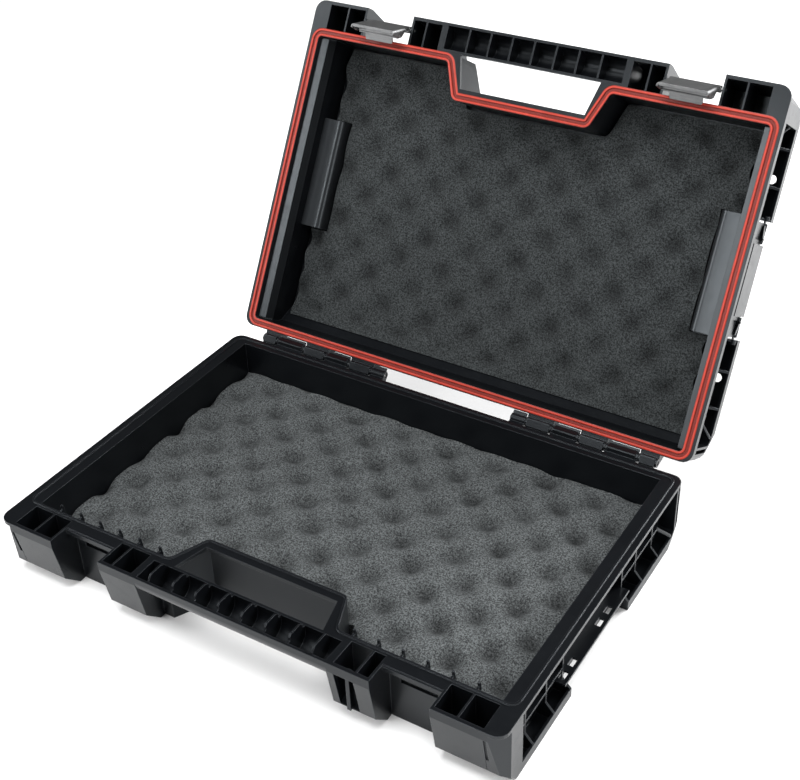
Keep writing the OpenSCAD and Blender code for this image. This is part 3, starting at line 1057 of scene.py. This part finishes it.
            # painted shade: deeper hollows, and hollows further right, get a darker foam colour
            across = (vert.co.x / self.half_x + 1) / 2
            share = self.left_shade + (1 - self.left_shade) * across
            vert[hollow_shade] = share * (vert.co.z - self.peak) / self.wave
            if self.ragged and abs(vert.co.x) > self.half_x - self.ragged_width:
                swell = self.ragged_swell_share * self.ragged_swell.at(vert.co.y)
                wobble = self.ragged_wave.at(vert.co.y) + swell
                share = (abs(vert.co.x) - self.half_x + self.ragged_width) / self.ragged_width
                inward = self.ragged * share * (self.ragged_level + wobble)
                vert.co.x -= math.copysign(inward, vert.co.x)

    def close(self, bm: bmesh.types.BMesh) -> None:
        """Gives the waved sheet its sides and its flat back.

        Args:
            bm: The sheet's mesh.
        """
        rim = [edge for edge in bm.edges if edge.is_boundary]
        made = bmesh.ops.extrude_edge_only(bm, edges=rim)["geom"]
        for vert in (v for v in made if isinstance(v, bmesh.types.BMVert)):
            vert.co.z = self.bottom
            vert.co.y = min(vert.co.y, self.level_back)
        low = [e for e in made if isinstance(e, bmesh.types.BMEdge) and e.is_boundary]
        bmesh.ops.edgeloop_fill(bm, edges=low)

    def build(self) -> bpy.types.Object:
        """Makes the pad.

        Returns:
            The pad.
        """
        bm = self.sheet()
        self.lift(bm)
        self.close(bm)
        piece = finish_piece(self.name, bm, self.to_frame, self.material, self.sharp_angle)
        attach(piece, self.body)
        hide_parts(self.node)
        LOG.info("%s: %d faces", self.name, len(piece.data.polygons))
        return piece


@dataclass
class LidSides:
    """Ledge and wall lining along each side of the lid, and the cover over each clip recess."""

    palette: Palette
    size: CaseSize
    start: float = 33.5
    end: float = 299.5
    lining: Sequence[Point] = (
        (215.4, 6.4),
        (208.7, 8.2),
        (206.2, 17.6),
        (207.6, 17.6),
        (215.9, 7.4),
    )
    cover_x: Point = (186.0, 206.4)
    cover_y: Point = (103.4, 205.6)
    cover_w: Point = (26.6, 48.7)
    cover_tilt: float = 1.6
    round_r: float = 6.0
    round_segments: int = 6
    end_r: float = 3.0
    end_segments: int = 4
    wall_margin: float = 1.0
    rim_margin: float = 3.0

    def build(self) -> None:
        """Makes both pieces."""
        for name, make in (("lid_side_linings", self.linings), ("clip_recess_covers", self.covers)):
            bm = bmesh.new()
            make(bm)
            mirrored = bmesh.ops.duplicate(bm, geom=[*bm.verts, *bm.edges, *bm.faces])["geom"]
            verts = [v for v in mirrored if isinstance(v, bmesh.types.BMVert)]
            bmesh.ops.scale(bm, vec=(-1.0, 1.0, 1.0), verts=verts)
            piece = finish_piece(name, bm, self.size.lid_frame(), self.palette.lining, CRISP)
            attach(piece, "lid")
            LOG.info("%s: %d faces", name, len(piece.data.polygons))

    def linings(self, bm: bmesh.types.BMesh) -> None:
        """Extrudes the lining's section along the right side.

        Args:
            bm: The mesh to add it to.
        """
        verts = [bm.verts.new((x, self.start, w)) for x, w in self.lining]
        face = bm.faces.new(verts)
        made = bmesh.ops.extrude_face_region(bm, geom=[face])["geom"]
        moved = [v for v in made if isinstance(v, bmesh.types.BMVert)]
        bmesh.ops.translate(bm, vec=(0.0, self.end - self.start, 0.0), verts=moved)

    def covers(self, bm: bmesh.types.BMesh) -> None:
        """Makes the right cover: a block with a rounded inner edge and rounded ends.

        Args:
            bm: The mesh to add it to.
        """
        corners = (self.cover_x, self.cover_y, self.cover_w)
        bmesh.ops.create_cube(bm, size=1.0)
        bmesh.ops.scale(bm, vec=[high - low for low, high in corners], verts=bm.verts)
        bmesh.ops.translate(bm, vec=[(low + high) / 2 for low, high in corners], verts=bm.verts)
        for vert in bm.verts:
            if vert.co.z < self.cover_w[1] and vert.co.x < self.cover_x[1]:
                vert.co.z += self.cover_tilt
        for axis, radius, segments in (
            (Axis.Y, self.round_r, self.round_segments),
            (Axis.Z, self.end_r, self.end_segments),
        ):
            bmesh.ops.bevel(
                bm,
                geom=self.rounded_edges(bm, axis),
                offset=radius,
                offset_type="OFFSET",
                segments=segments,
                profile=0.5,
                affect="EDGES",
                clamp_overlap=True,
                material=-1,
            )

    def rounded_edges(self, bm: bmesh.types.BMesh, axis: Axis) -> list[bmesh.types.BMEdge]:
        """Finds the cover's edges that get rounded in one direction.

        Args:
            bm: The cover's mesh.
            axis: The direction that the edges follow.

        Returns:
            Those away from the lid's wall that start near the cover's rim side.
        """
        return [
            edge
            for edge in bm.edges
            if all(vert.co.x < self.cover_x[1] - self.wall_margin for vert in edge.verts)
            and abs((edge.verts[0].co - edge.verts[1].co).normalized()[axis.value]) > PARALLEL
            and min(vert.co.z for vert in edge.verts) < self.cover_w[0] + self.rim_margin
        ]


@dataclass
class GripRibs:
    """Outermost ribs across the grip bar of one shell."""

    palette: Palette
    name: str
    body: str
    to_frame: Matrix
    place_x: float
    rise: float
    thick: float = 1.6
    trough_r: float = 10.4
    trough_y: float = 12.5
    trough_depth: float = 5.0
    segments: int = 40
    flare_from: float = 0.55
    narrowing: float = 0.96

    def build(self) -> bpy.types.Object:
        """Makes both ribs.

        Returns:
            The piece that holds them.
        """
        bm = bmesh.new()
        for side in Side:
            turn = Matrix.Rotation(math.radians(90), 4, "Y")
            middle = (side.value * self.place_x, self.trough_y, self.trough_depth)
            disc = bmesh.ops.create_cone(
                bm,
                cap_ends=True,
                segments=self.segments,
                radius1=self.trough_r,
                radius2=self.trough_r,
                depth=self.thick,
                matrix=Matrix.Translation(middle) @ turn,
            )["verts"]
            for vert in disc:
                if vert.co.z < self.trough_depth - NEAR:
                    off = vert.co.y - self.trough_y
                    out = abs(off) / self.trough_r
                    flare = max(0.0, (out - self.flare_from) / (1.0 - self.flare_from))
                    vert.co.z = -self.rise + self.rise * flare**2
                    vert.co.y = self.trough_y + off * self.narrowing
        piece = finish_piece(self.name, bm, self.to_frame, self.palette.case, CRISP)
        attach(piece, self.body)
        LOG.info("%s: %d faces", self.name, len(piece.data.polygons))
        return piece


@dataclass
class HingeStops:
    """Stop rib that stands on each of the base's hinge knuckles.

    Attributes:
        start: X at which a hinge begins.
        end: X at which it ends.
        marks: Where each base knuckle starts and ends, as shares of the hinge's length.
        inset: How much shorter a rib is than its knuckle at each end.
        low_r: Distance of the rib's foot from the hinge axis.
        high_r: Distance of its tip.
        lean: Degrees from the rim plane to the rib.
    """

    palette: Palette
    size: CaseSize
    start: float = 64.0
    end: float = 199.0
    marks: Sequence[float] = (0.0, 0.104, 0.289, 0.474, 0.659, 0.874)
    inset: float = 0.6
    low_r: float = 2.6
    high_r: float = 6.6
    thick: float = 1.2
    lean: float = 56.0

    def build(self) -> bpy.types.Object:
        """Makes the ribs of both hinges.

        Returns:
            The piece that holds them.
        """
        bm = bmesh.new()
        axis = Matrix.Translation((0.0, self.size.hinge_y, self.size.hinge_h))
        turned = axis @ Matrix.Rotation(math.radians(-self.lean), 4, "X")
        length = self.end - self.start
        for side in Side:
            for mark, next_mark in zip(self.marks[::2], self.marks[1::2]):
                x0 = self.start + mark * length + self.inset
                x1 = self.start + next_mark * length - self.inset
                middle = (side.value * (x0 + x1) / 2, (self.low_r + self.high_r) / 2, 0.0)
                sizes = (x1 - x0, self.high_r - self.low_r, self.thick, 1.0)
                place = turned @ Matrix.Translation(middle) @ Matrix.Diagonal(sizes)
                bmesh.ops.create_cube(bm, size=1.0, matrix=place)
        piece = finish_piece("hinge_stops", bm, self.size.base_frame(), self.palette.case, CRISP)
        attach(piece, "base")
        LOG.info("hinge_stops: %d faces", len(piece.data.polygons))
        return piece


# ---------------------------------------------------------------- studio


@dataclass(frozen=True)
class SoftLight:
    """One soft rectangular light: where it hangs, its size and power, and what it points at."""

    name: str
    place: Place
    size: Point
    watts: float
    aim: Place = (0.0, 0.05, 0.1)


@dataclass
class Studio:
    """Pale floor, soft lights and the camera."""

    location: Place = (0.494272, -0.672813, 0.739668)
    azimuth: float = 31.2334
    elevation: float = 33.9838
    roll: float = -1.27237
    lens: float = 60.5754
    sensor: float = 36.0
    shift: Point = (-0.0442, -0.02585)
    clip: Point = (0.01, 50.0)
    floor_side: float = 12.0
    floor_drop: float = 0.2 * MM
    floor_tone: RGB = (0.96, 0.96, 0.96)
    floor_rough: float = 0.9
    surround: float = 0.1
    lights: Sequence[SoftLight] = (
        SoftLight("overhead", (0.1, -0.4, 2.4), (1.6, 1.6), 62.0),
        SoftLight("left_strip", (-1.5, -0.9, 0.8), (0.5, 1.5), 22.0),
        SoftLight("front_box", (-0.35, -1.45, 1.2), (0.45, 0.7), 11.0, aim=(0.1, 0.3, 0.2)),
        SoftLight("right_strip", (1.7, -0.5, 0.9), (0.4, 1.5), 12.0),
        SoftLight("behind", (1.3, 1.8, 1.2), (1.4, 1.0), 95.0, aim=(-0.1, 0.4, 0.0)),
    )

    def camera(self) -> None:
        """Makes the camera and gives it to the scene."""
        az, el, roll = (math.radians(a) for a in (self.azimuth, self.elevation, self.roll))
        ahead = Vector(
            (-math.sin(az) * math.cos(el), math.cos(az) * math.cos(el), -math.sin(el))
        )
        level = ahead.cross(Vector((0.0, 0.0, 1.0))).normalized()
        right = level * math.cos(roll) + level.cross(ahead) * math.sin(roll)
        up = right.cross(ahead)
        data = bpy.data.cameras.new("studio_camera")
        data.sensor_width = self.sensor
        data.lens = self.lens
        data.shift_x, data.shift_y = self.shift
        data.clip_start, data.clip_end = self.clip
        camera = bpy.data.objects.new("studio_camera", data)
        turn = Matrix((right, up, -ahead)).transposed().to_4x4()
        camera.matrix_world = Matrix.Translation(self.location) @ turn
        bpy.context.scene.collection.objects.link(camera)
        bpy.context.scene.camera = camera

    def floor(self) -> None:
        """Makes the floor, a little below the case's feet."""
        bm = bmesh.new()
        bmesh.ops.create_grid(bm, x_segments=1, y_segments=1, size=self.floor_side / 2)
        g = Graph("pale_floor")
        material = g.finish(Base_Color=(*self.floor_tone, 1.0), Roughness=self.floor_rough)
        below = Matrix.Translation((0.0, 0.0, -self.floor_drop))
        floor = finish_piece("floor", bm, below, material)

    def lamp(self, light: SoftLight) -> None:
        """Hangs one light.

        Args:
            light: The light.
        """
        data = bpy.data.lights.new(light.name, "AREA")
        data.shape = "RECTANGLE"
        data.size, data.size_y = light.size
        data.energy = light.watts
        lamp = bpy.data.objects.new(light.name, data)
        lamp.location = light.place
        ahead = Vector(light.aim) - Vector(light.place)
        lamp.rotation_euler = ahead.to_track_quat("-Z", "Y").to_euler()
        bpy.context.scene.collection.objects.link(lamp)

    def world(self) -> None:
        """Gives the scene a faint white surround."""
        world = bpy.data.worlds.new("studio_world")
        world.use_nodes = True
        background = world.node_tree.nodes["Background"]
        background.inputs["Color"].default_value = (1.0, 1.0, 1.0, 1.0)
        background.inputs["Strength"].default_value = self.surround
        bpy.context.scene.world = world

    def build(self) -> None:
        """Builds the studio."""
        self.camera()
        self.floor()
        for light in self.lights:
            self.lamp(light)
        self.world()
        bpy.context.scene.view_settings.view_transform = "Standard"
        LOG.info("studio: floor, camera and %d lights", len(self.lights))


def main() -> None:
    """Builds the whole scene."""
    logging.basicConfig(level=logging.INFO, format="%(name)s: %(message)s")
    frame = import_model()
    nodes = frame["nodes"]
    size = CaseSize()
    line = SealLine()
    palette = Palette.make()

    Shells(palette).build(nodes)
    Hinges(palette).build(nodes)
    for side in Side:
        Latch(palette, side).build(nodes)
        SideClip(palette, side).build(nodes)
    SealBead(palette, size, line).build()

    ConvolutedPad(
        name="base_pad",
        node="base_foam",
        body="base",
        to_frame=size.base_frame(),
        material=palette.base_foam,
        half_x=207.9,
        front=31.6,
        back=297.3,
        bottom=size.base_h - 3.5,
        peak=29.5,
        wave=10.0,
        notch=[(-81.0, 28.0), (-66.4, 64.0), (66.4, 64.0), (81.0, 28.0)],
        phase=(187.6, 261.5),
        level_back=285.0,
        left_shade=0.5,
    ).build()
    ConvolutedPad(
        name="lid_pad",
        node="lid_foam",
        body="lid",
        to_frame=size.lid_frame(),
        material=palette.lid_foam,
        half_x=203.0,
        front=34.5,
        back=292.6,
        bottom=size.lid_h - 2.2,
        peak=38.6,
        wave=6.5,
        notch=[(-83.4, 28.0), (-69.0, 67.0), (69.0, 67.0), (83.4, 28.0)],
        phase=(179.2, 263.0),
        level_back=283.0,
        flat_back=9.0,
        ragged=1.6,
        inlet=(183.0, 102.5, 207.5),
    ).build()

    LidSides(palette, size).build()
    for body, to_frame, place_x, rise in (
        ("base", size.base_frame(), 73.5, 5.0),
        ("lid", size.lid_frame(), 63.0, 0.0),
    ):
        GripRibs(palette, f"grip_ribs_{body}", body, to_frame, place_x=place_x, rise=rise).build()
    HingeStops(palette, size).build()
    Studio().build()


if __name__ == "__main__":
    main()
